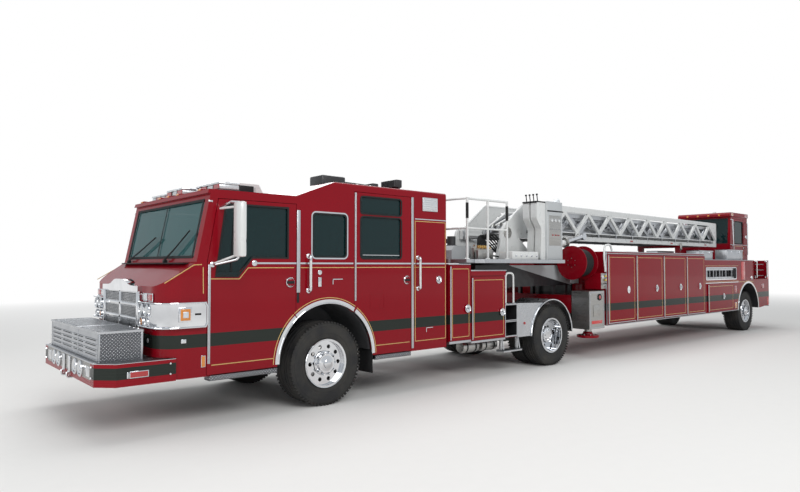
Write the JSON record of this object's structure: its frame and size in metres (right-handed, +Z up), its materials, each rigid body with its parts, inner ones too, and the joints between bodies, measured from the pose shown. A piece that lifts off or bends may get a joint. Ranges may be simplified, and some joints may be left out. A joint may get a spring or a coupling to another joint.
{
  "type": "tractor-drawn aerial ladder fire engine",
  "caption": "Articulated fire engine: a crew-cab tractor pulls a long locker trailer with a turntable ladder, a steered rear axle and a rear driver's cab.",
  "frame": {"origin": "on the ground at the middle of the vehicle's length and width, with tractor and trailer in line", "axes": "+X to the rear along the vehicle, +Y to its right-hand side, +Z up; it drives towards -X"},
  "size_m": [18.2, 3.32, 3.3],
  "materials": {
    "red_paint": "gloss red paint",
    "white_paint": "white paint",
    "dark_paint": "black chassis paint",
    "grey_plastic": "grained dark trim",
    "polished": "polished",
    "aluminium": "tread plate and mill finish",
    "steel": "brushed",
    "cast": "rough cast",
    "tyre": "black tread rubber",
    "glass": "tinted"
  },
  "bodies": {
    "tractor": {"tractor_frame": "dark_paint", "engine_block": "cast", "cab_floor": "grey_plastic", "cab_walls": "red_paint", "cab_roof": "red_paint", "cab_glass": "glass", "cab_interior": "grey_plastic", "front_chrome": "polished", "front_bumper": "polished", "tractor_boxes": "red_paint", "tractor_fenders": "aluminium", "roof_equipment": "white_paint"},
    "trailer": {"trailer_frame": "red_paint", "trailer_body": "red_paint", "side_ladders": "aluminium", "outrigger_box": "red_paint", "tiller_cab": "red_paint", "tiller_glass": "glass"},
    "turntable": {"turntable": "white_paint"},
    "ladder_base": {"ladder_base": "white_paint"},
    "ladder_lower_mid": {"ladder_lower_mid": "white_paint"},
    "ladder_upper_mid": {"ladder_upper_mid": "white_paint"},
    "ladder_fly": {"ladder_fly": "white_paint"},
    "lift_barrels": {"lift_barrels": "white_paint"},
    "lift_rods": {"lift_rods": "polished"},
    "tray_lid": {"tray_lid": "aluminium"},
    "door_front_left": {"door_front_left": "red_paint"},
    "door_crew_left": {"door_crew_left": "red_paint"},
    "door_narrow_left": {"door_narrow_left": "red_paint"},
    "door_wide_left": {"door_wide_left": "red_paint"},
    "knuckle_front_left": {"knuckle_front_left": "cast"},
    "knuckle_tiller_left": {"knuckle_tiller_left": "cast"},
    "wheel_front_left": {"wheel_front_left": "tyre"},
    "wheel_drive_left": {"wheel_drive_left": "tyre"},
    "wheel_tiller_left": {"wheel_tiller_left": "tyre"},
    "door_bay_1_left": {"door_bay_1_left": "red_paint"},
    "door_bay_2_left": {"door_bay_2_left": "red_paint"},
    "door_bay_3_left": {"door_bay_3_left": "red_paint"},
    "door_bay_4_left": {"door_bay_4_left": "red_paint"},
    "door_low_left": {"door_low_left": "red_paint"},
    "door_tiller_left": {"door_tiller_left": "red_paint"},
    "outrigger_left": {"outrigger_left": "steel"},
    "jack_leg_left": {"jack_leg_left": "steel"},
    "door_front_right": {"door_front_right": "red_paint"},
    "door_crew_right": {"door_crew_right": "red_paint"},
    "door_narrow_right": {"door_narrow_right": "red_paint"},
    "door_wide_right": {"door_wide_right": "red_paint"},
    "knuckle_front_right": {"knuckle_front_right": "cast"},
    "knuckle_tiller_right": {"knuckle_tiller_right": "cast"},
    "wheel_front_right": {"wheel_front_right": "tyre"},
    "wheel_drive_right": {"wheel_drive_right": "tyre"},
    "wheel_tiller_right": {"wheel_tiller_right": "tyre"},
    "door_bay_1_right": {"door_bay_1_right": "red_paint"},
    "door_bay_2_right": {"door_bay_2_right": "red_paint"},
    "door_bay_3_right": {"door_bay_3_right": "red_paint"},
    "door_bay_4_right": {"door_bay_4_right": "red_paint"},
    "door_low_right": {"door_low_right": "red_paint"},
    "door_tiller_right": {"door_tiller_right": "red_paint"},
    "outrigger_right": {"outrigger_right": "steel"},
    "jack_leg_right": {"jack_leg_right": "steel"}
  },
  "joints": [
    {"name": "trailer_yaw", "type": "hinge", "parent": "tractor", "child": "trailer", "pos_m": [-1.95, 0, 1.385], "axis": [0, 0, 1], "range_deg": [-35, 35]},
    {"name": "turntable_turn", "type": "hinge", "parent": "trailer", "child": "turntable", "pos_m": [-1.95, 0, 1.83], "axis": [0, 0, 1], "range_deg": [-95, 95]},
    {"name": "ladder_elevation", "type": "hinge", "parent": "turntable", "child": "ladder_base", "pos_m": [-2, 0, 2.385], "axis": [0, -1, 0], "range_deg": [0, 72]},
    {"name": "ladder_extend", "type": "slide", "parent": "ladder_base", "child": "ladder_lower_mid", "axis": [1, 0, 0], "range_m": [0, 6.4]},
    {"name": "ladder_extend_upper", "type": "slide", "parent": "ladder_lower_mid", "child": "ladder_upper_mid", "axis": [1, 0, 0], "range_m": [0, 6.4]},
    {"name": "ladder_extend_fly", "type": "slide", "parent": "ladder_upper_mid", "child": "ladder_fly", "axis": [1, 0, 0], "range_m": [0, 6.4]},
    {"name": "lift_swing", "type": "hinge", "parent": "turntable", "child": "lift_barrels", "pos_m": [-1.5, 0, 1.985], "axis": [0, -1, 0], "range_deg": [0, 73]},
    {"name": "lift_stroke", "type": "slide", "parent": "lift_barrels", "child": "lift_rods", "axis": [0.9774, 0, 0.2113], "range_m": [0, 0.76]},
    {"name": "tray_lid_hinge", "type": "hinge", "parent": "tractor", "child": "tray_lid", "pos_m": [-8.588, 0, 1.0853], "axis": [0, 1, 0], "range_deg": [0, 85]},
    {"name": "front_door_left_hinge", "type": "hinge", "parent": "tractor", "child": "door_front_left", "pos_m": [-7.984, -1.22, 1.5], "axis": [0, 0, -1], "range_deg": [0, 75]},
    {"name": "crew_door_left_hinge", "type": "hinge", "parent": "tractor", "child": "door_crew_left", "pos_m": [-5.944, -1.22, 1.5], "axis": [0, 0, -1], "range_deg": [0, 80]},
    {"name": "narrow_door_left_hinge", "type": "hinge", "parent": "tractor", "child": "door_narrow_left", "pos_m": [-4.14, -1.2273, 1.2], "axis": [0, 0, -1], "range_deg": [0, 90]},
    {"name": "wide_door_left_hinge", "type": "hinge", "parent": "tractor", "child": "door_wide_left", "pos_m": [-3.65, -1.2273, 1.1], "axis": [0, 0, -1], "range_deg": [0, 90]},
    {"name": "bay_1_door_left_hinge", "type": "hinge", "parent": "trailer", "child": "door_bay_1_left", "pos_m": [0.26, -1.2943, 1.3], "axis": [0, 0, -1], "range_deg": [0, 95]},
    {"name": "bay_2_door_left_hinge", "type": "hinge", "parent": "trailer", "child": "door_bay_2_left", "pos_m": [1.38, -1.2943, 1.3], "axis": [0, 0, -1], "range_deg": [0, 95]},
    {"name": "bay_3_door_left_hinge", "type": "hinge", "parent": "trailer", "child": "door_bay_3_left", "pos_m": [2.59, -1.2943, 1.3], "axis": [0, 0, -1], "range_deg": [0, 95]},
    {"name": "bay_4_door_left_hinge", "type": "hinge", "parent": "trailer", "child": "door_bay_4_left", "pos_m": [3.73, -1.2943, 1.3], "axis": [0, 0, -1], "range_deg": [0, 95]},
    {"name": "low_door_left_hinge", "type": "hinge", "parent": "trailer", "child": "door_low_left", "pos_m": [4.9, -1.2943, 1], "axis": [0, 0, -1], "range_deg": [0, 95]},
    {"name": "tiller_door_left_hinge", "type": "hinge", "parent": "trailer", "child": "door_tiller_left", "pos_m": [8.041, -0.72, 2.5], "axis": [0, 0, -1], "range_deg": [0, 80]},
    {"name": "front_steer_left", "type": "hinge", "parent": "tractor", "child": "knuckle_front_left", "pos_m": [-6.365, -0.74, 0.536], "axis": [0, 0, 1], "range_deg": [-32, 32]},
    {"name": "front_wheel_left_spin", "type": "hinge", "parent": "knuckle_front_left", "child": "wheel_front_left", "pos_m": [-6.365, -1, 0.536], "axis": [0, 1, 0], "continuous": true},
    {"name": "tiller_steer_left", "type": "hinge", "parent": "trailer", "child": "knuckle_tiller_left", "pos_m": [7.535, -0.74, 0.536], "axis": [0, 0, 1], "range_deg": [-32, 32]},
    {"name": "tiller_wheel_left_spin", "type": "hinge", "parent": "knuckle_tiller_left", "child": "wheel_tiller_left", "pos_m": [7.535, -1, 0.536], "axis": [0, 1, 0], "continuous": true},
    {"name": "drive_wheel_left_spin", "type": "hinge", "parent": "tractor", "child": "wheel_drive_left", "pos_m": [-1.505, -0.9, 0.536], "axis": [0, 1, 0], "continuous": true},
    {"name": "outrigger_left_slide", "type": "slide", "parent": "trailer", "child": "outrigger_left", "axis": [0, -1, 0], "range_m": [0, 1.1]},
    {"name": "jack_leg_left_slide", "type": "slide", "parent": "outrigger_left", "child": "jack_leg_left", "axis": [0, 0, -1], "range_m": [0, 0.375]},
    {"name": "front_door_right_hinge", "type": "hinge", "parent": "tractor", "child": "door_front_right", "pos_m": [-7.984, 1.22, 1.5], "axis": [0, 0, 1], "range_deg": [0, 75]},
    {"name": "crew_door_right_hinge", "type": "hinge", "parent": "tractor", "child": "door_crew_right", "pos_m": [-5.944, 1.22, 1.5], "axis": [0, 0, 1], "range_deg": [0, 80]},
    {"name": "narrow_door_right_hinge", "type": "hinge", "parent": "tractor", "child": "door_narrow_right", "pos_m": [-4.14, 1.2273, 1.2], "axis": [0, 0, 1], "range_deg": [0, 90]},
    {"name": "wide_door_right_hinge", "type": "hinge", "parent": "tractor", "child": "door_wide_right", "pos_m": [-3.65, 1.2273, 1.1], "axis": [0, 0, 1], "range_deg": [0, 90]},
    {"name": "bay_1_door_right_hinge", "type": "hinge", "parent": "trailer", "child": "door_bay_1_right", "pos_m": [0.26, 1.2943, 1.3], "axis": [0, 0, 1], "range_deg": [0, 95]},
    {"name": "bay_2_door_right_hinge", "type": "hinge", "parent": "trailer", "child": "door_bay_2_right", "pos_m": [1.38, 1.2943, 1.3], "axis": [0, 0, 1], "range_deg": [0, 95]},
    {"name": "bay_3_door_right_hinge", "type": "hinge", "parent": "trailer", "child": "door_bay_3_right", "pos_m": [2.59, 1.2943, 1.3], "axis": [0, 0, 1], "range_deg": [0, 95]},
    {"name": "bay_4_door_right_hinge", "type": "hinge", "parent": "trailer", "child": "door_bay_4_right", "pos_m": [3.73, 1.2943, 1.3], "axis": [0, 0, 1], "range_deg": [0, 95]},
    {"name": "low_door_right_hinge", "type": "hinge", "parent": "trailer", "child": "door_low_right", "pos_m": [4.9, 1.2943, 1], "axis": [0, 0, 1], "range_deg": [0, 95]},
    {"name": "tiller_door_right_hinge", "type": "hinge", "parent": "trailer", "child": "door_tiller_right", "pos_m": [8.041, 0.72, 2.5], "axis": [0, 0, 1], "range_deg": [0, 80]},
    {"name": "front_steer_right", "type": "hinge", "parent": "tractor", "child": "knuckle_front_right", "pos_m": [-6.365, 0.74, 0.536], "axis": [0, 0, 1], "range_deg": [-32, 32]},
    {"name": "front_wheel_right_spin", "type": "hinge", "parent": "knuckle_front_right", "child": "wheel_front_right", "pos_m": [-6.365, 1, 0.536], "axis": [0, 1, 0], "continuous": true},
    {"name": "tiller_steer_right", "type": "hinge", "parent": "trailer", "child": "knuckle_tiller_right", "pos_m": [7.535, 0.74, 0.536], "axis": [0, 0, 1], "range_deg": [-32, 32]},
    {"name": "tiller_wheel_right_spin", "type": "hinge", "parent": "knuckle_tiller_right", "child": "wheel_tiller_right", "pos_m": [7.535, 1, 0.536], "axis": [0, 1, 0], "continuous": true},
    {"name": "drive_wheel_right_spin", "type": "hinge", "parent": "tractor", "child": "wheel_drive_right", "pos_m": [-1.505, 0.9, 0.536], "axis": [0, 1, 0], "continuous": true},
    {"name": "outrigger_right_slide", "type": "slide", "parent": "trailer", "child": "outrigger_right", "axis": [0, 1, 0], "range_m": [0, 1.1]},
    {"name": "jack_leg_right_slide", "type": "slide", "parent": "outrigger_right", "child": "jack_leg_right", "axis": [0, 0, -1], "range_m": [0, 0.375]}
  ],
  "couplings": [
    {"joint": "ladder_extend", "follows": "ladder_elevation", "m_per_rad": 5.092},
    {"joint": "ladder_extend_upper", "follows": "ladder_elevation", "m_per_rad": 5.092},
    {"joint": "ladder_extend_fly", "follows": "ladder_elevation", "m_per_rad": 5.092},
    {"joint": "lift_swing", "follows": "ladder_elevation", "ratio": 1.0125},
    {"joint": "lift_stroke", "follows": "ladder_elevation", "m_per_rad": 0.598},
    {"joint": "front_steer_right", "follows": "front_steer_left", "ratio": 1},
    {"joint": "tiller_steer_right", "follows": "tiller_steer_left", "ratio": 1}
  ]
}
